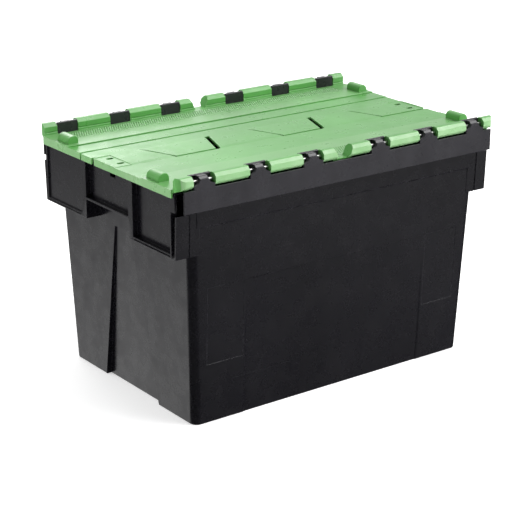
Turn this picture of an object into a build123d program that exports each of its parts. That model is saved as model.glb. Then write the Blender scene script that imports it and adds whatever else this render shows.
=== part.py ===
from build123d import *
import os
from math import radians, tan

# Attached lid tote: a nesting tub, two hinged lid flaps and four hinge rods.
# Millimetres. +Z is up, X runs along the long sides, and the origin is the centre of the base.

# ---- overall ----
LENGTH = 600.0  # over the end skirts of the lid
WIDTH = 392.0  # over the side bands and the hinge barrels
HEIGHT = 389.0  # to the top of the hinge barrels

# ---- tub walls ----
BASE_LENGTH = 521.5
BASE_WIDTH = 340.4
BASE_EDGE = 2.0  # rounding where the walls meet the base
DRAFT = 2.2  # degrees, every wall leans out by this much
CORNER_RADIUS = 13.0
WALL = 2.6
FLOOR = 4.5
RIM_TOP = 365.9
COLLAR_BOTTOM = 308.0  # the walls thicken outward above this height
COLLAR_PROUD = 1.5
COLLAR_HALF_LENGTH = 262.0  # the collar runs along the long walls only
FOOT_WIDTH = 14.0  # flat ring that the tub stands on
FOOT_RIB = 6.0
FOOT_POCKET = 2.0
FOOT_COLUMNS = 4
FOOT_ROWS = 3
FOOT_CORNER = 6.0

# ---- wedge shaped nesting recess in each end wall ----
NEST_TOP = 262.0
NEST_HALF_LOW = 76.0
NEST_HALF_HIGH = 21.0
NEST_DEPTH_LOW = 9.0
NEST_DEPTH_HIGH = 2.5

# ---- shallow reliefs in each long wall ----
RELIEF_TOP = 214.0
RELIEF_HALF = 169.0
RELIEF_SLOPE = 4.5
RELIEF_DEPTH_LOW = 2.0
RELIEF_DEPTH_HIGH = 0.3
LABEL_BOTTOM = 94.0
LABEL_INNER = 176.0
LABEL_OUTER = 240.0
LABEL_DEPTH_LOW = 0.4
LABEL_DEPTH_HIGH = 0.8
LABEL_SLOPE = 0.5

# ---- side bands that carry the hinges ----
BAND_BOTTOM = 337.0
BAND_TOP = 369.9
BAND_HALF_LENGTH = 290.0
BAND_THICKNESS = 3.0
FLANGE = 2.5
FLANGE_HALF_LENGTH = 280.0
GUSSET = 2.5
GUSSET_OFFSET = 15.0
GUSSET_BOTTOM = 344.0

# ---- end frames ----
FRAME_OUT = 296.0  # outer face of the ribs
END_BAND_HALF_WIDTH = 180.0
PANEL_DEEP = 8.0  # how far the recessed panels lie behind the ribs
PANEL_SHALLOW = 2.5
PANEL = 2.6
FRAME_BOTTOM = 268.0
HANDLE_BOTTOM = 298.0
HANDLE_LEDGE = 3.5
LIP = 6.0
LIP_GROOVE = 1.6
LIP_GROOVE_DEPTH = 2.0
HANDLE_FAR = 60.0  # the handle recess runs between these two ribs
HANDLE_NEAR = -58.0
RIB_FAR = 73.0
RIB_NEAR = -70.0
RIB_SKIN = 2.5
DEEP_EDGE = -170.0
SHALLOW_EDGE = 179.0
EDGE_RIB = 3.0
SHALLOW_EDGE_RIB = 5.0
CORNER_PLATE_PROUD = 0.6  # the plate stands this much outside the long wall
CORNER_PLATE_INNER = 256.0
CORNER_PLATE_TOP = 332.0
CORNER_GROOVE = 273.5
CORNER_GROOVE_WIDTH = 2.4
CORNER_GROOVE_DEPTH = 1.6
PIP_X = 285.0  # small round pip on each corner plate
PIP_Z = 305.0
PIP_RADIUS = 1.9
PIP_PROUD = 0.5
SEAL_HOLE = (-12.0, 2.0)
SEAL_HOLE_BOTTOM = 347.0
SEAL_HOLE_TOP = 358.0

# ---- hinges ----
AXIS_Y = 187.0
AXIS_Z = 380.0
BARREL_HALF = 9.0  # half the size across flats of the eight sided barrel
BARREL_EDGE = 2.0
BARREL_END = 297.0
BARREL_CORNER = 13.0
KNUCKLES = (63.6, 159.5, 255.4)  # distance of each knuckle from the middle
KNUCKLE_GAP = 37.0
KNUCKLE_BASE = 35.4
KNUCKLE_BOSS = 14.0
KNUCKLE_BOSS_HALF = 7.6
KNUCKLE_SKIN = 5.0
KNUCKLE_SIDE_TOP = 375.6
KNUCKLE_FLARE_TOP = 384.0
KNUCKLE_FLARE = ((6.0, 0.15), (2.5, 0.45))  # reach past the boss, share of the rise
KNUCKLE_BACK = 178.6
KNUCKLE_BACK_THICKNESS = 4.4
KNUCKLE_TOP = 388.6
KNUCKLE_CHAMFER = 1.0
KNUCKLE_NOSE = 4.0  # how far the nose hangs below the hinge line
NOTCH_LOW = 10.0  # half of the gap in the barrel row at mid length
NOTCH_HIGH = 17.5
NOTCH_TONGUE = 190.5
NOTCH_TONGUE_UNDER = 369.4
ROD_RADIUS = 2.5
ROD_INNER = 26.0
ROD_OUTER = 290.0
BOSS_BORE = 2.52
BARREL_BORE = 2.58
BORE_SPARE = 0.5  # the bores in the barrels run this much past the rod ends

# ---- lid flaps ----
FLAP_UNDER = 366.2
FLAP_CENTRE_TOP = 369.0
FLAP_BAND_TOP = 369.9
FLAP_HINGE_TOP = 371.4
STEP_INNER = 67.0
STEP_OUTER = 103.0
STEP_GROOVE = 1.6
STEP_GROOVE_DEPTH = 1.3
STEP_GROOVE_END = 6.0  # the grooves stop this far from the ends of the lid
FLAP_EDGE = 178.0  # the flap joins the barrels here
FLAP_EDGE_AT_KNUCKLE = 177.4
SKIRT = 3.0
SKIRT_BOTTOM = 359.0
SEAM_GAP = 1.8
SEAM_REACH = 33.0
SEAM_PITCH = 200.0
SEAM_RUN = 12.0
SEAM_SLOT = 4.2  # wider gap along the rising slopes
PATTERN_SHIFT = 6.0
TOOTH_PROUD = 0.9
TOOTH_FADE = 10.0
SKIRT_SLIT = 3.0
SKIRT_NOTCH = 5.5  # wider gap where the seam meets the end of the lid
SKIRT_NOTCH_DEPTH = 4.0
LUG_INNER = 276.0
LUG_CROWN = 284.0  # highest line of the rounded top
LUG_OUTER = 294.5
LUG_HEIGHT = 13.6
LUG_INNER_SIDE = 6.0  # height of the upright inner side below the rounding
LUG_OUTER_SIDE = 3.0
LUG_EDGE = 1.2
LUG_LENGTH = 32.0
LUG_NEAR = 122.0
LUG_FAR = 127.0
TIE_HOLE_X = 280.0
TIE_HOLE_Y = 15.0
TIE_HOLE_LENGTH = 12.0
TIE_HOLE_WIDTH = 7.5
TIE_POCKET_INNER = 271.0
TIE_POCKET_HALF = 31.0
TIE_POCKET_DEPTH = 0.8
STIFFENER = 2.4
STIFFENER_DEPTH = 5.0
FLAP_SKIN = 2.8
FLAP_POCKET_HALF = 262.0
STIFFENER_END = 264.0
STIFFENER_EDGE = 170.0
STIFFENER_ROWS = (48.0, 85.0, 128.0)
STIFFENER_COLUMNS = (-212.0, -106.0, 0.0, 106.0, 212.0)

LEAN = tan(radians(DRAFT))
OVERSHOOT = 5.0  # how far cutting tools run past the face they cut
ARC_MIDDLE = 0.7071  # half way round a quarter circle


def block(x, y, z):
    """Box between two corners; x, y and z are (low, high) pairs."""
    size = [abs(high - low) for low, high in (x, y, z)]
    middle = [(high + low) / 2 for low, high in (x, y, z)]
    return Pos(*middle) * Box(*size)


def outline(points, height):
    """Flat polygon at the given height."""
    corners = [(x, y, height) for x, y in points]
    return make_face(Polyline(*corners, close=True))


def rectangle_points(x0, x1, y0, y1):
    return [(x0, y0), (x1, y0), (x1, y1), (x0, y1)]


def side_profile(points, x):
    """Flat polygon in the YZ plane at the given place along X."""
    corners = [(x, y, z) for y, z in points]
    return make_face(Polyline(*corners, close=True))


def front_profile(points, y):
    """Flat polygon in the XZ plane at the given place along Y."""
    corners = [(x, y, z) for x, z in points]
    return make_face(Polyline(*corners, close=True))


def wedge(low_points, low, high_points, high):
    """Straight sided solid between two polygons at different heights."""
    return loft([outline(low_points, low), outline(high_points, high)], ruled=True)


def slab(points, low, high):
    """Polygon pulled straight up from one height to another."""
    return extrude(outline(points, low), amount=high - low, dir=(0, 0, 1))


def half_length(z):
    return BASE_LENGTH / 2 + LEAN * z


def half_width(z):
    return BASE_WIDTH / 2 + LEAN * z


def tapered_block(low, high, grow_low=0.0, grow_high=None):
    """Rounded block that follows the leaning walls, moved outward by grow."""
    if grow_high is None:
        grow_high = grow_low
    ends = []
    for z, grow in ((low, grow_low), (high, grow_high)):
        rectangle = RectangleRounded(
            2 * (half_length(z) + grow), 2 * (half_width(z) + grow), CORNER_RADIUS + grow
        )
        ends.append((Pos(0, 0, z) * rectangle).face())
    return loft(ends, ruled=True)


def both_sides(distances):
    """Places along X at the given distances on both sides of the middle, in order."""
    return sorted([-d for d in distances] + list(distances))


def turned(shape):
    """The same shape at the opposite end and side of the tote."""
    return Rot(0, 0, 180) * shape


def nest_wedge(clearance):
    """Cutting wedge of the -X nesting recess, enlarged by clearance on its inner faces."""
    outside = -BASE_LENGTH
    low = -OVERSHOOT
    bottom_floor = -half_length(0) + NEST_DEPTH_LOW + clearance
    top_floor = -half_length(NEST_TOP) + NEST_DEPTH_HIGH + clearance
    bottom_half = NEST_HALF_LOW + clearance
    top_half = NEST_HALF_HIGH + clearance
    top = NEST_TOP + clearance
    bottom = rectangle_points(outside, bottom_floor, -bottom_half, bottom_half)
    upper = rectangle_points(outside, top_floor, -top_half, top_half)
    return wedge(bottom, low, upper, top)


def wall_relief(inner, outer, low, high, depths, slope):
    """Shallow cut into the -Y wall between two places along X, with sloped sides."""
    levels = []
    for z, depth in zip((low, high), depths):
        surface = -half_width(z)
        levels.append(
            [
                (inner - slope, surface - OVERSHOOT),
                (inner - slope, surface),
                (inner, surface + depth),
                (outer, surface + depth),
                (outer + slope, surface),
                (outer + slope, surface - OVERSHOOT),
            ]
        )
    return wedge(levels[0], low, levels[1], high)


def octagon(half, edge):
    """Eight sided hinge section in the YZ plane, centred on the hinge line of the -Y side."""
    flat = half * tan(radians(22.5))
    points = [
        (half, -flat), (half, flat), (flat, half), (-flat, half),
        (-half, flat), (-half, -flat), (-flat, -half), (flat, -half),
    ]
    face = side_profile([(-AXIS_Y + y, AXIS_Z + z) for y, z in points], 0)
    return fillet(face.vertices(), edge)


def barrel_stretch(start, end):
    """Length of hinge barrel along X on the -Y side."""
    section = Pos(start, 0, 0) * octagon(BARREL_HALF, BARREL_EDGE)
    return extrude(section, amount=end - start, dir=(1, 0, 0))


def hinge_bore(radius, start, end):
    """Round bar on the hinge line of the -Y side, for bores and rods."""
    centre = (start + end) / 2
    return Pos(centre, -AXIS_Y, AXIS_Z) * Rot(0, 90, 0) * Cylinder(radius, abs(end - start))


# ---- tub ----


def tub_walls():
    """Solid nesting body with its thicker collar, still without the cavity."""
    body = tapered_block(0, RIM_TOP)
    body = fillet(body.edges().group_by(Axis.Z)[0], BASE_EDGE)
    collar = tapered_block(COLLAR_BOTTOM, COLLAR_BOTTOM + COLLAR_PROUD, 0.0, COLLAR_PROUD)
    collar += tapered_block(COLLAR_BOTTOM + COLLAR_PROUD, RIM_TOP, COLLAR_PROUD)
    body += collar & block(
        (-COLLAR_HALF_LENGTH, COLLAR_HALF_LENGTH), (-WIDTH / 2, WIDTH / 2), (0, HEIGHT)
    )
    nest = nest_wedge(0.0)
    relief_depths = (RELIEF_DEPTH_LOW, RELIEF_DEPTH_HIGH)
    relief = wall_relief(-RELIEF_HALF, RELIEF_HALF, 0, RELIEF_TOP, relief_depths, RELIEF_SLOPE)
    label_depths = (LABEL_DEPTH_LOW, LABEL_DEPTH_HIGH)
    label = wall_relief(
        -LABEL_OUTER, -LABEL_INNER, LABEL_BOTTOM, RELIEF_TOP, label_depths, LABEL_SLOPE
    )
    other_label = mirror(label, Plane.YZ)
    for cut in (nest, relief, label, other_label):
        body -= cut
        body -= turned(cut)
    return body


def tub_cavity():
    """Inside of the tub, which follows the nesting recesses."""
    cavity = tapered_block(FLOOR, RIM_TOP, -WALL)
    nest = nest_wedge(WALL)
    cavity -= nest
    cavity -= turned(nest)
    return cavity


def foot_pockets():
    """Pockets between the foot ring and the ribs under the floor."""
    half_x = BASE_LENGTH / 2 - NEST_DEPTH_LOW - FOOT_WIDTH
    half_y = BASE_WIDTH / 2 - FOOT_WIDTH
    pitch_x = 2 * half_x / FOOT_COLUMNS
    pitch_y = 2 * half_y / FOOT_ROWS
    pockets = []
    for column in range(FOOT_COLUMNS):
        for row in range(FOOT_ROWS):
            x = -half_x + (column + 0.5) * pitch_x
            y = -half_y + (row + 0.5) * pitch_y
            shape = RectangleRounded(pitch_x - FOOT_RIB, pitch_y - FOOT_RIB, FOOT_CORNER)
            pockets.append(extrude(Pos(x, y, 0) * shape, amount=FOOT_POCKET))
    return pockets


def side_band():
    """Band, flange and gussets along the -Y side."""
    outer = -WIDTH / 2
    inner = outer + BAND_THICKNESS
    wall = -half_width(RIM_TOP) + WALL / 2
    band = block((-BAND_HALF_LENGTH, BAND_HALF_LENGTH), (outer, inner), (BAND_BOTTOM, BAND_TOP))
    flange_length = (-FLANGE_HALF_LENGTH, FLANGE_HALF_LENGTH)
    band += block(flange_length, (outer, wall), (RIM_TOP - FLANGE, RIM_TOP))
    for centre in both_sides(KNUCKLES):
        for x in (centre - GUSSET_OFFSET, centre + GUSSET_OFFSET):
            if abs(x) < COLLAR_HALF_LENGTH:
                thickness = (x - GUSSET / 2, x + GUSSET / 2)
                band += block(thickness, (outer, wall), (GUSSET_BOTTOM, RIM_TOP))
    return band


def knuckle(centre):
    """Hinge knuckle on the -Y side: flared front skin, back plate and bored boss."""
    half = KNUCKLE_BASE / 2
    boss = KNUCKLE_BOSS / 2
    front = -WIDTH / 2
    back = -KNUCKLE_BACK
    wide = (centre - half, centre + half)
    narrow = (centre - boss, centre + boss)
    rise = KNUCKLE_FLARE_TOP - KNUCKLE_SIDE_TOP

    flare = [(half, RIM_TOP - FLANGE), (half, KNUCKLE_SIDE_TOP)]
    flare += [(boss + reach, KNUCKLE_SIDE_TOP + share * rise) for reach, share in KNUCKLE_FLARE]
    flare.append((boss, KNUCKLE_FLARE_TOP))
    profile = [(centre + x, z) for x, z in flare] + [(centre - x, z) for x, z in reversed(flare)]
    skin = extrude(front_profile(profile, front), amount=KNUCKLE_SKIN, dir=(0, 1, 0))

    foot = block(wide, (front, back), (RIM_TOP - FLANGE, KNUCKLE_SIDE_TOP - KNUCKLE_CHAMFER))
    plate = block(wide, (back - KNUCKLE_BACK_THICKNESS, back), (RIM_TOP, KNUCKLE_TOP))
    top_edges = plate.edges().filter_by(Axis.X).group_by(Axis.Z)[-1]
    plate = chamfer(top_edges, KNUCKLE_CHAMFER)
    web = block(narrow, (front + 1, back), (RIM_TOP, AXIS_Z))
    section = Pos(narrow[0], 0, 0) * octagon(KNUCKLE_BOSS_HALF, BARREL_EDGE)
    boss_bar = extrude(section, amount=KNUCKLE_BOSS, dir=(1, 0, 0))
    nose = block(narrow, (front, -AXIS_Y), (AXIS_Z - KNUCKLE_NOSE, KNUCKLE_FLARE_TOP))
    return skin + foot + plate + web + boss_bar + nose


def bottom_lip(near, far, panel):
    """Lower edge of a frame on the -X end: a ledge out to the rib face with a groove along it."""
    lip = block((-FRAME_OUT, -panel + PANEL), (near, far), (FRAME_BOTTOM, FRAME_BOTTOM + LIP))
    middle = FRAME_BOTTOM + LIP / 2
    groove = block(
        (-FRAME_OUT - OVERSHOOT, -FRAME_OUT + LIP_GROOVE_DEPTH),
        (near + EDGE_RIB, far - EDGE_RIB),
        (middle - LIP_GROOVE / 2, middle + LIP_GROOVE / 2),
    )
    return lip - groove


def hollow_rib(near, far):
    """Vertical rib on the -X end, open toward the tub."""
    wall = -half_length(FRAME_BOTTOM) + WALL / 2
    rib = block((-FRAME_OUT, wall), (near, far), (FRAME_BOTTOM, RIM_TOP))
    inside = block(
        (-FRAME_OUT + RIB_SKIN, wall + OVERSHOOT),
        (near + RIB_SKIN, far - RIB_SKIN),
        (FRAME_BOTTOM - OVERSHOOT, RIM_TOP - FLANGE),
    )
    return rib - inside


def corner_plate():
    """Plate that carries the -Y wall on past the corner of the tub to the frame of the -X end."""
    levels = []
    grooves = []
    groove = (
        -CORNER_GROOVE - CORNER_GROOVE_WIDTH / 2,
        -CORNER_GROOVE + CORNER_GROOVE_WIDTH / 2,
    )
    for z in (FRAME_BOTTOM, CORNER_PLATE_TOP):
        front = -half_width(z) - CORNER_PLATE_PROUD
        back = front + WALL + CORNER_PLATE_PROUD
        levels.append(rectangle_points(-FRAME_OUT, -CORNER_PLATE_INNER, front, back))
        grooves.append(rectangle_points(*groove, front - 1, front + CORNER_GROOVE_DEPTH))
    plate = wedge(levels[0], FRAME_BOTTOM, levels[1], CORNER_PLATE_TOP)
    plate -= wedge(grooves[0], FRAME_BOTTOM, grooves[1], CORNER_PLATE_TOP)
    face = -half_width(PIP_Z) - CORNER_PLATE_PROUD
    pip = Pos(-PIP_X, face, PIP_Z) * Rot(90, 0, 0) * Cylinder(PIP_RADIUS, 2 * PIP_PROUD)
    return plate + pip


def end_frame():
    """Ribs, panels, handle and corner plates of the -X end."""
    wall = -half_length(RIM_TOP) + WALL / 2
    deep = FRAME_OUT - PANEL_DEEP
    shallow = FRAME_OUT - PANEL_SHALLOW
    full = (FRAME_BOTTOM, RIM_TOP)
    band_edges = (-END_BAND_HALF_WIDTH, END_BAND_HALF_WIDTH)

    frame = block((-FRAME_OUT, wall), band_edges, (RIM_TOP - FLANGE, RIM_TOP))
    corner = (-END_BAND_HALF_WIDTH, DEEP_EDGE)
    frame += block((-FRAME_OUT, -FRAME_OUT + PANEL), corner, (BAND_BOTTOM, RIM_TOP))

    frame += hollow_rib(HANDLE_FAR, RIB_FAR)
    frame += hollow_rib(RIB_NEAR, HANDLE_NEAR)

    # deep pocket on the -Y side
    frame += block((-deep, -deep + PANEL), (DEEP_EDGE, RIB_NEAR), full)
    frame += block((-FRAME_OUT, -deep + PANEL), (DEEP_EDGE, DEEP_EDGE + EDGE_RIB), full)
    frame += bottom_lip(DEEP_EDGE, RIB_NEAR, deep)

    # handle between the two ribs
    handle = (HANDLE_NEAR, HANDLE_FAR)
    ledge = (HANDLE_BOTTOM, HANDLE_BOTTOM + HANDLE_LEDGE)
    frame += block((-deep, -deep + PANEL), handle, (HANDLE_BOTTOM, RIM_TOP))
    frame += block((-FRAME_OUT, -deep + PANEL), handle, ledge)
    frame -= block((-FRAME_OUT, -deep + PANEL + 1), SEAL_HOLE, (SEAL_HOLE_BOTTOM, SEAL_HOLE_TOP))

    # shallow pocket on the +Y side
    frame += block((-shallow, -shallow + PANEL), (RIB_FAR, SHALLOW_EDGE), full)
    frame += block((-FRAME_OUT, -shallow), (SHALLOW_EDGE - SHALLOW_EDGE_RIB, SHALLOW_EDGE), full)
    frame += bottom_lip(RIB_FAR, SHALLOW_EDGE, shallow)
    plate = corner_plate()
    frame += plate
    frame += mirror(plate, Plane.XZ)
    return frame


def make_tub():
    tub = tub_walls()
    for centre in both_sides(KNUCKLES):
        part = knuckle(centre)
        tub += part
        tub += turned(part)
    band = side_band()
    frame = end_frame()
    for part in (band, frame):
        tub += part
        tub += turned(part)
    tub -= tub_cavity()
    bore = hinge_bore(BOSS_BORE, -ROD_OUTER, ROD_OUTER)
    for slot in tie_holes():
        tub -= slot
        tub -= turned(slot)
    tub -= bore
    tub -= turned(bore)
    for pocket in foot_pockets():
        tub -= pocket
    return tub


# ---- lid flaps ----


def seam_points(shift):
    """Zigzag free edge of the -Y flap, from -X to +X, half the gap inside the middle line."""
    back = SEAM_GAP / 2
    points = [(-LENGTH / 2, SEAM_REACH - back)]
    for step, falling in ((-1.0, True), (-0.5, False), (0.0, True), (0.5, False), (1.0, True)):
        centre = step * SEAM_PITCH - shift
        start = SEAM_REACH if falling else -SEAM_REACH
        side = -back if falling else back
        points.append((centre - SEAM_RUN + side, start - back))
        points.append((centre + SEAM_RUN + side, -start - back))
    points.append((LENGTH / 2, -SEAM_REACH - back))
    return points


def seam_slots(shift):
    """Wider gaps along the rising slopes of the zigzag, cut from this flap only."""
    slots = []
    for step in (-0.5, 0.5):
        centre = step * SEAM_PITCH - shift
        start = centre - SEAM_RUN
        end = centre + SEAM_RUN
        corners = [
            (start, -SEAM_REACH),
            (start + SEAM_SLOT, -SEAM_REACH),
            (end + SEAM_SLOT, SEAM_REACH),
            (end, SEAM_REACH),
        ]
        slots.append(slab(corners, FLAP_UNDER - 1, HEIGHT))
    return slots


def flap_area(shift, outer):
    """Plan of the -Y flap out to the given distance from the middle line."""
    return seam_points(shift) + [(LENGTH / 2, -outer), (-LENGTH / 2, -outer)]


def stepped_plate(shift):
    """Plate that steps down from the hinge to the seam, with a groove at the foot of each step."""
    plate = slab(flap_area(shift, FLAP_EDGE_AT_KNUCKLE), FLAP_UNDER, FLAP_CENTRE_TOP)
    across = (-LENGTH / 2, LENGTH / 2)
    groove_end = LENGTH / 2 - STEP_GROOVE_END
    plate += block(across, (-FLAP_EDGE_AT_KNUCKLE, -STEP_INNER), (FLAP_CENTRE_TOP, FLAP_BAND_TOP))
    plate += block(across, (-FLAP_EDGE_AT_KNUCKLE, -STEP_OUTER), (FLAP_BAND_TOP, FLAP_HINGE_TOP))
    for edge, top in ((STEP_INNER, FLAP_CENTRE_TOP), (STEP_OUTER, FLAP_BAND_TOP)):
        depth = (top - STEP_GROOVE_DEPTH, top + 1)
        plate -= block((-groove_end, groove_end), (-edge, -edge + STEP_GROOVE), depth)
    return plate


def teeth(shift):
    """Raised tops of the zigzag teeth, fading out at their roots."""
    root = -SEAM_REACH
    tip = SEAM_REACH + OVERSHOOT
    ramp = [
        (root, FLAP_CENTRE_TOP - 1),
        (root, FLAP_CENTRE_TOP),
        (root + TOOTH_FADE, FLAP_CENTRE_TOP + TOOTH_PROUD),
        (tip, FLAP_CENTRE_TOP + TOOTH_PROUD),
        (tip, FLAP_CENTRE_TOP - 1),
    ]
    band = extrude(side_profile(ramp, -LENGTH / 2), amount=LENGTH, dir=(1, 0, 0))
    return band & slab(flap_area(shift, FLAP_EDGE), FLAP_CENTRE_TOP - 1, HEIGHT)


def barrel_notch(shift):
    """Cut through the barrel row at mid length, wider at the top, and the tongue left under it."""
    centre = -shift
    low = (centre - NOTCH_LOW, centre + NOTCH_LOW)
    high = (centre - NOTCH_HIGH, centre + NOTCH_HIGH)
    outside = -WIDTH / 2 - 1
    face = [
        (low[0], FLAP_HINGE_TOP),
        (low[1], FLAP_HINGE_TOP),
        (high[1], HEIGHT + 1),
        (high[0], HEIGHT + 1),
    ]
    reach = -FLAP_EDGE_AT_KNUCKLE - outside
    cut = extrude(front_profile(face, outside), amount=reach, dir=(0, 1, 0))
    cut += block(low, (outside, -FLAP_EDGE_AT_KNUCKLE), (FLAP_UNDER - 1, FLAP_HINGE_TOP))
    tongue_reach = (-NOTCH_TONGUE, -FLAP_EDGE_AT_KNUCKLE + 1)
    tongue = block(high, tongue_reach, (NOTCH_TONGUE_UNDER, FLAP_HINGE_TOP))
    return cut, tongue


def barrels(shift):
    """Barrel row of the -Y flap with its web, broken at each knuckle and at mid length."""
    edges = [-BARREL_END]
    for centre in both_sides(KNUCKLES):
        edges += [centre - KNUCKLE_GAP / 2, centre + KNUCKLE_GAP / 2]
    edges.append(BARREL_END)
    web = [
        (-FLAP_EDGE_AT_KNUCKLE, FLAP_UNDER),
        (-FLAP_EDGE_AT_KNUCKLE, FLAP_HINGE_TOP + 3),
        (-FLAP_EDGE - 2, FLAP_HINGE_TOP + 4),
        (-AXIS_Y, AXIS_Z - BARREL_HALF + 1),
        (-AXIS_Y, AXIS_Z - BARREL_HALF),
        (-FLAP_EDGE - 3, FLAP_UNDER + 1),
    ]
    cut, tongue = barrel_notch(shift)
    row = [tongue]
    for start, end in zip(edges[0::2], edges[1::2]):
        foot = extrude(side_profile(web, start), amount=end - start, dir=(1, 0, 0))
        row.append(foot + barrel_stretch(start, end) - cut)
    return row


def rounded_plan():
    """Tall block with rounded corners that trims the outer ends of the barrel rows."""
    plan = RectangleRounded(2 * BARREL_END, WIDTH, BARREL_CORNER)
    return extrude(Pos(0, 0, FLAP_UNDER - 1) * plan, amount=HEIGHT - FLAP_UNDER + 2)


def stacking_lug(side, centre):
    """Lug near one end of the -Y flap: a ridge along Y with a rounded D-shaped section."""
    start = -centre - LUG_LENGTH / 2

    def corner(x, height):
        return (side * x, start, FLAP_BAND_TOP + height)

    def rounding(x0, height0, x1, height1):
        """Quarter ellipse from an upright side at the first corner to the level crown."""
        along = x0 + (x1 - x0) * (1 - ARC_MIDDLE)
        rise = height0 + (height1 - height0) * ARC_MIDDLE
        return ThreePointArc(corner(x0, height0), corner(along, rise), corner(x1, height1))

    path = [
        Line(corner(LUG_INNER, 0), corner(LUG_INNER, LUG_INNER_SIDE)),
        rounding(LUG_INNER, LUG_INNER_SIDE, LUG_CROWN, LUG_HEIGHT),
        rounding(LUG_OUTER, LUG_OUTER_SIDE, LUG_CROWN, LUG_HEIGHT),
        Line(corner(LUG_OUTER, LUG_OUTER_SIDE), corner(LUG_OUTER, 0)),
        Line(corner(LUG_OUTER, 0), corner(LUG_INNER, 0)),
    ]
    lug = extrude(make_face(path), amount=LUG_LENGTH, dir=(0, 1, 0))
    end_edges = lug.edges().filter_by(lambda e: e.center().Z > FLAP_BAND_TOP + LUG_INNER_SIDE)
    return fillet(end_edges.filter_by(Plane.XZ), LUG_EDGE)


def flap_pockets():
    """Hollows under the two thicker zones of the -Y flap, which leave an even skin."""
    across = (-FLAP_POCKET_HALF, FLAP_POCKET_HALF)
    split = -STEP_OUTER - FLAP_SKIN
    low = FLAP_UNDER - 1
    hinge_side = block(across, (-STIFFENER_EDGE, split), (low, FLAP_HINGE_TOP - FLAP_SKIN))
    middle = block(across, (split, -STEP_INNER - FLAP_SKIN), (low, FLAP_BAND_TOP - FLAP_SKIN))
    return [hinge_side, middle]


def stiffeners():
    """Ribs under the -Y flap, inside the opening of the tub."""
    height = (FLAP_UNDER - STIFFENER_DEPTH, FLAP_BAND_TOP - STEP_GROOVE_DEPTH - 1)
    half = STIFFENER / 2
    ribs = []
    for y in STIFFENER_ROWS:
        ribs.append(block((-STIFFENER_END, STIFFENER_END), (-y - half, -y + half), height))
    for x in STIFFENER_COLUMNS:
        ribs.append(block((x - half, x + half), (-STIFFENER_EDGE, -STIFFENER_ROWS[0]), height))
    return ribs


def tie_holes():
    """Two slots near the -X end, for a security tie."""
    slots = []
    for y in (-TIE_HOLE_Y, TIE_HOLE_Y):
        slot = Pos(-TIE_HOLE_X, y, FLAP_UNDER - 1) * SlotOverall(TIE_HOLE_LENGTH, TIE_HOLE_WIDTH)
        slots.append(extrude(slot, amount=HEIGHT - FLAP_UNDER))
    return slots


def end_skirts():
    """Skirts that hang over both ends of the tub, from the hinge side to the seam."""
    end = LENGTH / 2
    height = (SKIRT_BOTTOM, FLAP_CENTRE_TOP)
    hinge_side = -FLAP_EDGE_AT_KNUCKLE
    left = block((-end, -end + SKIRT), (hinge_side, SEAM_REACH - SEAM_GAP), height)
    right = block((end - SKIRT, end), (hinge_side, -SEAM_REACH - SEAM_GAP), height)
    return left, right


def skirt_cuts():
    """Notch beside the seam at the -X end and slit beside the step at the +X end."""
    end = LENGTH / 2
    height = (SKIRT_BOTTOM - 1, HEIGHT)
    notch = block(
        (-end - 1, -end + SKIRT_NOTCH_DEPTH), (SEAM_REACH - SKIRT_NOTCH, SEAM_REACH + 1), height
    )
    slit = block((end - SKIRT - 1, end + 1), (-STEP_INNER, -STEP_INNER + SKIRT_SLIT), height)
    return notch, slit


def make_flap(shift, lug_centre):
    """Whole -Y flap; the other flap is the same construction turned half a turn."""
    flap = stepped_plate(shift) + teeth(shift)
    for pocket in flap_pockets():
        flap -= pocket
    for skirt in end_skirts():
        flap += skirt
    for cut in skirt_cuts():
        flap -= cut
    plan = rounded_plan()
    for piece in barrels(shift):
        flap += piece & plan
    for side in (-1, 1):
        flap += stacking_lug(side, lug_centre)
    for rib in stiffeners():
        flap += rib
    tie_pocket = block(
        (-LENGTH / 2 + SKIRT, -TIE_POCKET_INNER),
        (-TIE_POCKET_HALF, TIE_POCKET_HALF - SEAM_GAP),
        (FLAP_CENTRE_TOP + TOOTH_PROUD - TIE_POCKET_DEPTH, HEIGHT),
    )
    flap -= tie_pocket
    for slot in seam_slots(shift):
        flap -= slot
    for slot in tie_holes():
        flap -= slot
    for side in (-1, 1):
        start = side * (ROD_OUTER + BORE_SPARE)
        end = side * (ROD_INNER - BORE_SPARE) - shift
        flap -= hinge_bore(BARREL_BORE, start, end)
    return flap


# ---- build and write ----

tub = make_tub()
near_flap = make_flap(PATTERN_SHIFT, LUG_NEAR)
far_flap = turned(make_flap(-PATTERN_SHIFT, LUG_FAR))


def hinge_rods(shift):
    """The two rods of the -Y side, left and right of the notch."""
    left = hinge_bore(ROD_RADIUS, -ROD_OUTER, -ROD_INNER - shift)
    right = hinge_bore(ROD_RADIUS, ROD_INNER - shift, ROD_OUTER)
    return left, right


near_left_rod, near_right_rod = hinge_rods(PATTERN_SHIFT)
far_right_rod, far_left_rod = [turned(rod) for rod in hinge_rods(-PATTERN_SHIFT)]

parts = {
    "tub": tub,
    "near_lid_flap": near_flap,
    "far_lid_flap": far_flap,
    "near_left_hinge_rod": near_left_rod,
    "near_right_hinge_rod": near_right_rod,
    "far_right_hinge_rod": far_right_rod,
    "far_left_hinge_rod": far_left_rod,
}

os.makedirs("parts", exist_ok=True)
for name, shape in parts.items():
    export_step(shape, f"parts/{name}.step")
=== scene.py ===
import math

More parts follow.
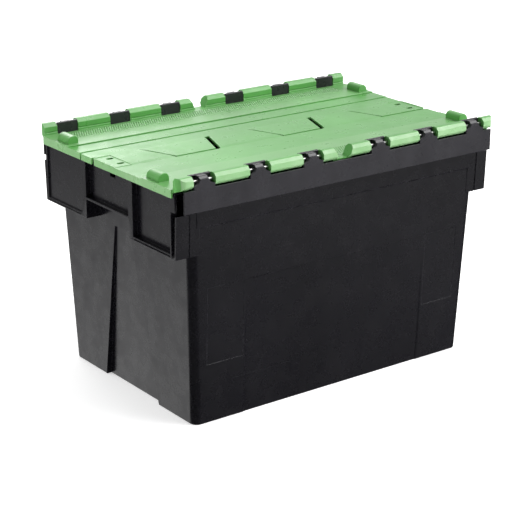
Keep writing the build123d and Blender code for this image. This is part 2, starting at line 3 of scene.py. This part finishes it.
import bmesh
import bpy
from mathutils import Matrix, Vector


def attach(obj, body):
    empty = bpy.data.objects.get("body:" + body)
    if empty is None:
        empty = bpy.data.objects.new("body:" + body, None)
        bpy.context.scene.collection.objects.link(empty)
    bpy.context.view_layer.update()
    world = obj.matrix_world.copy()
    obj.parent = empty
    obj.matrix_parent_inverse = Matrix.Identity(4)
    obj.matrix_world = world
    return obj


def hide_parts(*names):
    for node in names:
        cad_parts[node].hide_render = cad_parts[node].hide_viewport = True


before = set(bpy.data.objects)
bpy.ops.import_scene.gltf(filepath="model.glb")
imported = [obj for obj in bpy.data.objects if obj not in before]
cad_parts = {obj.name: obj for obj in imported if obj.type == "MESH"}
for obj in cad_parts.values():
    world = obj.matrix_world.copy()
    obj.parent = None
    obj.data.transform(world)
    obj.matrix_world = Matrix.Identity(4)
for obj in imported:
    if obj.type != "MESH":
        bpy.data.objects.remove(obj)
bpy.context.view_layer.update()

MM = 0.001
SHARP_ANGLE = math.radians(28.0)
SMOOTH_ANGLE = math.radians(38.0)
NORMAL_WEIGHT = 80
MERGE = 0.002 * MM
FLAT_ANGLE = math.radians(0.6)
MOST_CORNERS_BEFORE = 20
MOST_CORNERS_AFTER = 4

TUB_ROUNDING = 0.5 * MM
LID_ROUNDING = 0.4 * MM
SHORTEST_ROUNDED = 2.2 * MM
ROUNDING_STEPS = 2

# where the tub and the flaps are painted lighter as painted sheen, painted highlights and
# painted light, and how strongly (0 to 1)
BARREL_FRONT = 192.0 * MM
BARREL_BACK = 177.0 * MM
# painted highlight on the outward faces of the hinge barrels
BARREL_PAINTED_HIGHLIGHT = 1.0
BARREL_FACING = 0.4
SKIRT_FACE = 299.5 * MM
# painted light: the end skirts are painted paler, as if lit from the side
SKIRT_PAINTED_LIGHT = 0.7
STRIP_TOP = 371.3 * MM
# painted sheen on the raised hinge strips and the grip pads
STRIP_PAINTED_SHEEN = 0.30
BAND_FACE = 195.6 * MM
BAND_BOTTOM = 337.0 * MM
# painted sheen: the side bands and hinge knuckles are painted greyer than the wall
BAND_PAINTED_SHEEN = 0.65
KNUCKLE_FOOT = 371.5 * MM
KNUCKLE_BACK = 176.0 * MM
SIDE_FACING = 0.8
TOP_FACING = 0.9

# the grip pads beside the hinges
KNURL_INNER = 139.0 * MM
KNURL_OUTER = 172.5 * MM
KNURL_REACH = 264.0 * MM
KNURL_PITCH = 4.2 * MM
KNURL_PAD = 3.0 * MM
KNURL_TAPER = 0.45
KNURL_HEIGHT = 0.8 * MM
KNURL_BASE = 371.35 * MM
KNURL_MARGIN = 0.25
PAD_CORNERS = ((-1, -1), (1, -1), (1, 1), (-1, 1))


# ---------------------------------------------------------------- meshes


def bare_bmesh(node):
    """The node's surface with its triangles merged back into flat faces."""
    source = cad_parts[node].data
    bm = bmesh.new()
    verts = [bm.verts.new(v.co) for v in source.vertices]
    for polygon in source.polygons:
        corners = [verts[i] for i in polygon.vertices]
        if len(set(corners)) == len(corners):
            try:
                bm.faces.new(corners)
            except ValueError:
                continue
    bmesh.ops.remove_doubles(bm, verts=bm.verts, dist=MERGE)
    bmesh.ops.dissolve_degenerate(bm, dist=MERGE, edges=bm.edges)
    bmesh.ops.dissolve_limit(
        bm, angle_limit=FLAT_ANGLE, use_dissolve_boundaries=False, verts=bm.verts, edges=bm.edges
    )
    return bm


def crisp_edges(bm, shortest):
    """Edges that turn sharply and are long enough to round."""
    picked = []
    for edge in bm.edges:
        if len(edge.link_faces) != 2 or edge.calc_length() < shortest:
            continue
        if edge.calc_face_angle(0.0) > SHARP_ANGLE:
            picked.append(edge)
    return picked


def add_piece(name, bm, body, material):
    """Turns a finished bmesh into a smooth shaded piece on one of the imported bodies."""
    mesh = bpy.data.meshes.new(name)
    bm.to_mesh(mesh)
    bm.free()
    piece = bpy.data.objects.new(name, mesh)
    bpy.context.scene.collection.objects.link(piece)
    mesh.materials.append(material)
    for polygon in mesh.polygons:
        polygon.use_smooth = True
    mesh.set_sharp_from_angle(angle=SMOOTH_ANGLE)
    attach(piece, body)
    return piece


def paint_wear_and_light(bm, rounded, painted_light):
    """Marks the rounded edges (red: edge wear plus a painted edge highlight) and the surfaces
    painted lighter as painted sheen, highlight and light (green).
    """
    layer = bm.loops.layers.float_color.new("wear_and_painted_light")
    worn_and_lit = set(rounded)
    for face in bm.faces:
        edge = 1.0 if face in worn_and_lit else 0.0
        area = painted_light(face.calc_center_median(), face.normal)
        for loop in face.loops:
            loop[layer] = (edge, area, 0.0, 1.0)


def tub_painted_sheen(centre, normal):
    """Paints the outside of the side bands and the hinge knuckles greyer as a painted sheen."""
    if centre.z > KNUCKLE_FOOT and abs(centre.y) > KNUCKLE_BACK:
        return BAND_PAINTED_SHEEN
    if centre.z > BAND_BOTTOM and abs(centre.y) > BAND_FACE and abs(normal.y) > SIDE_FACING:
        return BAND_PAINTED_SHEEN
    return 0.0


def pads_painted_sheen(centre, normal):
    """The grip pads get the same painted sheen as the strip that they stand on."""
    return STRIP_PAINTED_SHEEN


def lid_painted_light(centre, normal):
    """Paints the hinge barrels, the end skirts and the raised strips of a flap paler: a painted
    highlight on the barrels, painted light on the skirts and a painted sheen on the strips.
    """
    faces_out = centre.y * normal.y > 0.0
    if abs(centre.y) > BARREL_FRONT and abs(normal.y) > BARREL_FACING and faces_out:
        return BARREL_PAINTED_HIGHLIGHT
    if abs(centre.x) > SKIRT_FACE and abs(normal.x) > SIDE_FACING:
        return SKIRT_PAINTED_LIGHT
    if centre.z > STRIP_TOP and normal.z > TOP_FACING and abs(centre.y) < BARREL_BACK:
        return STRIP_PAINTED_SHEEN
    return 0.0


def keep_inside(bm, low, high):
    """Holds rounded corners inside the box of the sharp part."""
    for vert in bm.verts:
        for axis in range(3):
            vert.co[axis] = min(max(vert.co[axis], low[axis]), high[axis])


def split_concave(bm, most_corners):
    """Cuts concave faces with many corners into convex ones, so they fill correctly."""
    crowded = [face for face in bm.faces if len(face.verts) > most_corners]
    bmesh.ops.connect_verts_concave(bm, faces=crowded)
    bm.normal_update()


def rounded_copy(name, node, body, material, radius, painted_light):
    """A copy of a CAD node with small real roundings along its edges."""
    bm = bare_bmesh(node)
    low = [min(vert.co[axis] for vert in bm.verts) for axis in range(3)]
    high = [max(vert.co[axis] for vert in bm.verts) for axis in range(3)]
    split_concave(bm, MOST_CORNERS_BEFORE)
    done = bmesh.ops.bevel(
        bm,
        geom=crisp_edges(bm, SHORTEST_ROUNDED),
        offset=radius,
        offset_type="OFFSET",
        segments=ROUNDING_STEPS,
        profile=0.5,
        affect="EDGES",
        clamp_overlap=False,
        loop_slide=True,
        harden_normals=False,
    )
    keep_inside(bm, low, high)
    bm.normal_update()
    split_concave(bm, MOST_CORNERS_AFTER)
    paint_wear_and_light(bm, [face for face in done["faces"] if face.is_valid], painted_light)
    piece = add_piece(name, bm, body, material)
    weighted = piece.modifiers.new("weighted", "WEIGHTED_NORMAL")
    weighted.keep_sharp = True
    weighted.weight = NORMAL_WEIGHT
    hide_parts(node)


def knurled_strip(name, body, side, material):
    """Rows of small raised pads that keep a stacked tote from sliding on the flap."""
    bm = bmesh.new()
    columns = int(2 * KNURL_REACH / KNURL_PITCH)
    rows = int((KNURL_OUTER - KNURL_INNER) / KNURL_PITCH)
    foot = KNURL_PAD / 2
    crown = foot * KNURL_TAPER
    top = KNURL_BASE + KNURL_HEIGHT
    for row in range(rows):
        y = side * (KNURL_INNER + (row + 0.5) * KNURL_PITCH)
        stagger = KNURL_PITCH / 2 if row % 2 else 0.0
        for column in range(columns):
            x = -KNURL_REACH + (column + KNURL_MARGIN) * KNURL_PITCH + stagger
            low = []
            high = []
            for dx, dy in PAD_CORNERS:
                low.append(bm.verts.new((x + dx * foot, y + dy * foot, KNURL_BASE)))
                high.append(bm.verts.new((x + dx * crown, y + dy * crown, top)))
            bm.faces.new(high)
            bm.faces.new(low[::-1])
            for i in range(4):
                j = (i + 1) % 4
                bm.faces.new((low[i], low[j], high[j], high[i]))
    bm.normal_update()
    paint_wear_and_light(bm, [], pads_painted_sheen)
    add_piece(name, bm, body, material)


# ---------------------------------------------------------------- materials


# sockets of a Mix node set to colour: factor, A and B, and the result
MIX_COLOUR_SOCKETS = (0, 6, 7)
MIX_COLOUR_RESULT = 2


class Nodes:
    """Small helper that builds one node tree."""

    def __init__(self, name):
        self.material = bpy.data.materials.new(name)
        self.material.use_nodes = True
        self.tree = self.material.node_tree
        self.shader = self.tree.nodes["Principled BSDF"]
        self.place = self.add("ShaderNodeTexCoord").outputs["Object"]

    def add(self, kind, **values):
        node = self.tree.nodes.new(kind)
        for key, value in values.items():
            setattr(node, key, value)
        return node

    def link(self, output, socket):
        self.tree.links.new(output, socket)

    def noise(self, scale, detail=3.0, rough=0.55, stretch=None):
        node = self.add("ShaderNodeTexNoise")
        node.inputs["Scale"].default_value = scale
        node.inputs["Detail"].default_value = detail
        node.inputs["Roughness"].default_value = rough
        if stretch:
            mapping = self.add("ShaderNodeMapping")
            mapping.inputs["Scale"].default_value = stretch
            self.link(self.place, mapping.inputs["Vector"])
            self.link(mapping.outputs["Vector"], node.inputs["Vector"])
        else:
            self.link(self.place, node.inputs["Vector"])
        return node.outputs["Fac"]

    def remap(self, value, low, high, to_low, to_high):
        node = self.add("ShaderNodeMapRange")
        node.clamp = True
        node.inputs["From Min"].default_value = low
        node.inputs["From Max"].default_value = high
        node.inputs["To Min"].default_value = to_low
        node.inputs["To Max"].default_value = to_high
        self.link(value, node.inputs["Value"])
        return node.outputs["Result"]

    def mix(self, factor, first, second):
        node = self.add("ShaderNodeMix", data_type="RGBA")
        sockets = [node.inputs[i] for i in MIX_COLOUR_SOCKETS]
        for value, socket in zip((factor, first, second), sockets):
            if hasattr(value, "links"):
                self.link(value, socket)
            elif isinstance(value, tuple):
                socket.default_value = (*value, 1.0)
            else:
                socket.default_value = value
        return node.outputs[MIX_COLOUR_RESULT]

    def math(self, operation, first, second):
        node = self.add("ShaderNodeMath", operation=operation)
        for value, socket in ((first, node.inputs[0]), (second, node.inputs[1])):
            if hasattr(value, "links"):
                self.link(value, socket)
            else:
                socket.default_value = value
        return node.outputs[0]

    def bump(self, height, strength, distance, normal=None):
        node = self.add("ShaderNodeBump")
        node.inputs["Strength"].default_value = strength
        node.inputs["Distance"].default_value = distance
        self.link(height, node.inputs["Height"])
        if normal is not None:
            self.link(normal, node.inputs["Normal"])
        return node.outputs["Normal"]


# how far the tone of a moulding drifts, and how its roughness varies
TONE_DARKER = 0.86
TONE_LIGHTER = 1.12
SHEEN_BELOW = 0.05
SHEEN_ABOVE = 0.07
SCUFF_ROUGHNESS = 0.5
SCUFF_STRETCH = (1.0, 1.0, 22.0)
PAINTED_LIGHT_STRETCH = (1.0, 0.3, 0.3)
PLASTIC_IOR = 1.49


def moulded_plastic(name, base, worn_and_lit, dusty, rough, grain, scuffed):
    """Moulded polypropylene: tone drift, fine grain, scuffs, edges lighter from wear plus a
    painted edge highlight, and painted sheen and light on the marked surfaces.
    """
    n = Nodes(name)
    drift = n.remap(n.noise(5.0, 3.0), 0.35, 0.65, 0.0, 1.0)
    darker = tuple(c * TONE_DARKER for c in base)
    lighter = tuple(min(1.0, c * TONE_LIGHTER) for c in base)
    colour = n.mix(drift, darker, lighter)

    smudge = n.remap(n.noise(22.0, 5.0, 0.6), 0.48, 0.78, 0.0, 0.30)
    colour = n.mix(smudge, colour, dusty)

    scuff = n.remap(n.noise(7.0, 6.0, 0.72, SCUFF_STRETCH), 0.64, 0.76, 0.0, scuffed)
    colour = n.mix(scuff, colour, worn_and_lit)

    painted = n.add("ShaderNodeSeparateColor")
    wear_and_painted_light = n.add("ShaderNodeAttribute", attribute_name="wear_and_painted_light")
    n.link(wear_and_painted_light.outputs["Color"], painted.inputs[0])
    # rounded edges: edge wear plus a painted edge highlight
    edge_wear_and_highlight = n.remap(n.noise(85.0, 4.0, 0.7), 0.42, 0.62, 0.15, 0.75)
    colour = n.mix(n.math("MULTIPLY", painted.outputs[0], edge_wear_and_highlight), colour, worn_and_lit)
    # marked surfaces painted lighter: painted sheen, painted highlight and painted light
    area_painted_light = n.remap(n.noise(30.0, 4.0, 0.6, PAINTED_LIGHT_STRETCH), 0.35, 0.65, 0.6, 1.0)
    colour = n.mix(n.math("MULTIPLY", painted.outputs[1], area_painted_light), colour, worn_and_lit)
    n.link(colour, n.shader.inputs["Base Color"])

    sheen = n.remap(n.noise(38.0, 4.0, 0.65), 0.3, 0.7, rough - SHEEN_BELOW, rough + SHEEN_ABOVE)
    sheen = n.math("ADD", sheen, n.math("MULTIPLY", scuff, SCUFF_ROUGHNESS))
    n.link(sheen, n.shader.inputs["Roughness"])

    orange_peel = n.bump(n.noise(140.0, 2.0), 0.10, 0.4 * MM)
    fine = n.bump(n.noise(1400.0, 3.0, 0.7), grain, 0.12 * MM, orange_peel)
    n.link(fine, n.shader.inputs["Normal"])

    n.shader.inputs["IOR"].default_value = PLASTIC_IOR
    return n.material


def drawn_steel(name):
    """Drawn rod: fine rings of brushing, a little tarnish."""
    n = Nodes(name)
    lines = n.noise(60.0, 4.0, 0.6, (1.0, 30.0, 30.0))
    colour = n.mix(n.remap(lines, 0.3, 0.7, 0.0, 1.0), (0.42, 0.42, 0.41), (0.68, 0.68, 0.67))
    tarnish = n.remap(n.noise(35.0, 5.0, 0.7), 0.55, 0.75, 0.0, 0.5)
    n.link(n.mix(tarnish, colour, (0.30, 0.27, 0.22)), n.shader.inputs["Base Color"])
    n.shader.inputs["Metallic"].default_value = 1.0
    n.link(n.remap(lines, 0.3, 0.7, 0.24, 0.42), n.shader.inputs["Roughness"])
    n.link(n.bump(lines, 0.15, 0.1 * MM), n.shader.inputs["Normal"])
    return n.material


tub_plastic = moulded_plastic(
    "tub_plastic",
    base=(0.0066, 0.0062, 0.0086),
    worn_and_lit=(0.035, 0.034, 0.040),
    dusty=(0.017, 0.016, 0.018),
    rough=0.27,
    grain=0.03,
    scuffed=0.25,
)
lid_plastic = moulded_plastic(
    "lid_plastic",
    base=(0.118, 0.385, 0.090),
    worn_and_lit=(0.31, 0.52, 0.27),
    dusty=(0.17, 0.40, 0.15),
    rough=0.30,
    grain=0.05,
    scuffed=0.04,
)
rod_steel = drawn_steel("rod_steel")


# ---------------------------------------------------------------- pieces

rounded_copy("tub_shell", "tub", "tub_body", tub_plastic, TUB_ROUNDING, tub_painted_sheen)
for name, node_name, body in (
    ("near_flap_panel", "near_lid_flap", "near_lid"),
    ("far_flap_panel", "far_lid_flap", "far_lid"),
):
    rounded_copy(name, node_name, body, lid_plastic, LID_ROUNDING, lid_painted_light)
knurled_strip("near_grip_pads", "near_lid", -1, lid_plastic)
knurled_strip("far_grip_pads", "far_lid", 1, lid_plastic)

for node_name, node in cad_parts.items():
    if node_name.endswith("hinge_rod"):
        node.data.materials.clear()
        node.data.materials.append(rod_steel)


# ---------------------------------------------------------------- floor, light and camera


FLOOR_HALF = 14.0
FLOOR_DROP = 0.5 * MM
FLOOR_GLOW = 0.55

# each patch of studio glow: direction, cosine where it starts, cosine where it is full, strength
GLOWS = (
    ((0.0, 0.0, 1.0), -1.2, -1.1, 0.03),
    ((0.0, 0.0, 1.0), 0.0, 0.9, 0.22),
    ((-0.42, 0.71, -0.565), 0.925, 0.990, 1.15),
    ((0.61, -0.79, -0.05), 0.905, 0.985, 0.68),
    ((0.24, 0.93, 0.27), 0.930, 0.994, 5.20),
    ((0.34, 0.90, 0.27), 0.50, 1.00, 0.80),
    ((0.50, -0.40, 0.77), 0.90, 0.975, 6.00),
)


def floor_material():
    """Plain pale studio paper."""
    n = Nodes("studio_floor")
    tone = n.remap(n.noise(0.8, 2.0), 0.3, 0.7, 0.0, 1.0)
    n.link(n.mix(tone, (0.86, 0.86, 0.86), (0.89, 0.89, 0.89)), n.shader.inputs["Base Color"])
    n.shader.inputs["Roughness"].default_value = 0.9
    n.shader.inputs["Specular IOR Level"].default_value = 0.1
    n.shader.inputs["Emission Color"].default_value = (1.0, 1.0, 1.0, 1.0)
    n.shader.inputs["Emission Strength"].default_value = FLOOR_GLOW
    return n.material


def add_floor():
    """A wide sheet just under the tote, left out of its reflections."""
    bm = bmesh.new()
    bmesh.ops.create_grid(bm, x_segments=1, y_segments=1, size=FLOOR_HALF)
    mesh = bpy.data.meshes.new("floor")
    bm.to_mesh(mesh)
    bm.free()
    floor = bpy.data.objects.new("floor", mesh)
    mesh.materials.append(floor_material())
    bpy.context.scene.collection.objects.link(floor)
    floor.location.z = -FLOOR_DROP
    floor.visible_glossy = False


def add_softbox(name, place, target, size, power):
    """A soft rectangular lamp that lights the tote without a highlight of its own."""
    light = bpy.data.lights.new(name, "AREA")
    light.shape = "RECTANGLE"
    light.size, light.size_y = size
    light.energy = power
    lamp = bpy.data.objects.new(name, light)
    bpy.context.scene.collection.objects.link(lamp)
    lamp.location = place
    lamp.rotation_euler = (Vector(target) - Vector(place)).to_track_quat("-Z", "Y").to_euler()
    lamp.visible_glossy = False


def glow(tree, direction, start, end, strength):
    """Soft patch of the studio around one direction."""
    toward = tree.nodes.new("ShaderNodeVectorMath")
    toward.operation = "DOT_PRODUCT"
    toward.inputs[1].default_value = Vector(direction).normalized()
    spread = tree.nodes.new("ShaderNodeMapRange")
    spread.interpolation_type = "SMOOTHSTEP"
    spread.inputs["From Min"].default_value = start
    spread.inputs["From Max"].default_value = end
    spread.inputs["To Min"].default_value = 0.0
    spread.inputs["To Max"].default_value = strength
    tree.links.new(tree.nodes["directions"].outputs["Generated"], toward.inputs[0])
    tree.links.new(toward.outputs["Value"], spread.inputs["Value"])
    return spread.outputs["Result"]


def add_world():
    """Pale studio made of the glow patches."""
    world = bpy.data.worlds.new("studio")
    bpy.context.scene.world = world
    world.use_nodes = True
    tree = world.node_tree
    background = tree.nodes["Background"]
    coordinates = tree.nodes.new("ShaderNodeTexCoord")
    coordinates.name = "directions"
    total = None
    for direction, start, end, strength in GLOWS:
        patch = glow(tree, direction, start, end, strength)
        if total is None:
            total = patch
            continue
        add = tree.nodes.new("ShaderNodeMath")
        add.operation = "ADD"
        tree.links.new(total, add.inputs[0])
        tree.links.new(patch, add.inputs[1])
        total = add.outputs[0]
    tree.links.new(total, background.inputs["Strength"])
    background.inputs["Color"].default_value = (1.0, 1.0, 1.0, 1.0)


add_floor()
add_world()
add_softbox("key_left", (-2.2, 2.3, 0.9), (0.0, 0.0, 0.2), (1.3, 1.3), 44.0)
add_softbox("fill_front", (2.5, -2.0, 0.8), (0.0, 0.0, 0.25), (1.6, 1.2), 52.0)
add_softbox("top", (0.0, 0.5, 2.4), (0.0, 0.0, 0.3), (2.2, 1.6), 9.0)

CAMERA_PLACE = (-1.48552, -1.98179, 1.02478)
CAMERA_AZIMUTH = math.radians(-36.383)
CAMERA_ELEVATION = math.radians(19.132)
CAMERA_LENS = 115.5221647
SENSOR_WIDTH = 36.0

camera_data = bpy.data.cameras.new("camera")
camera_data.sensor_width = SENSOR_WIDTH
camera_data.lens = CAMERA_LENS
camera = bpy.data.objects.new("camera", camera_data)
bpy.context.scene.collection.objects.link(camera)
camera.location = CAMERA_PLACE
look = Vector(
    (
        -math.sin(CAMERA_AZIMUTH) * math.cos(CAMERA_ELEVATION),
        math.cos(CAMERA_AZIMUTH) * math.cos(CAMERA_ELEVATION),
        -math.sin(CAMERA_ELEVATION),
    )
)
camera.rotation_euler = look.to_track_quat("-Z", "Y").to_euler()
bpy.context.scene.camera = camera
bpy.context.scene.view_settings.view_transform = "Standard"

bpy.context.view_layer.update()
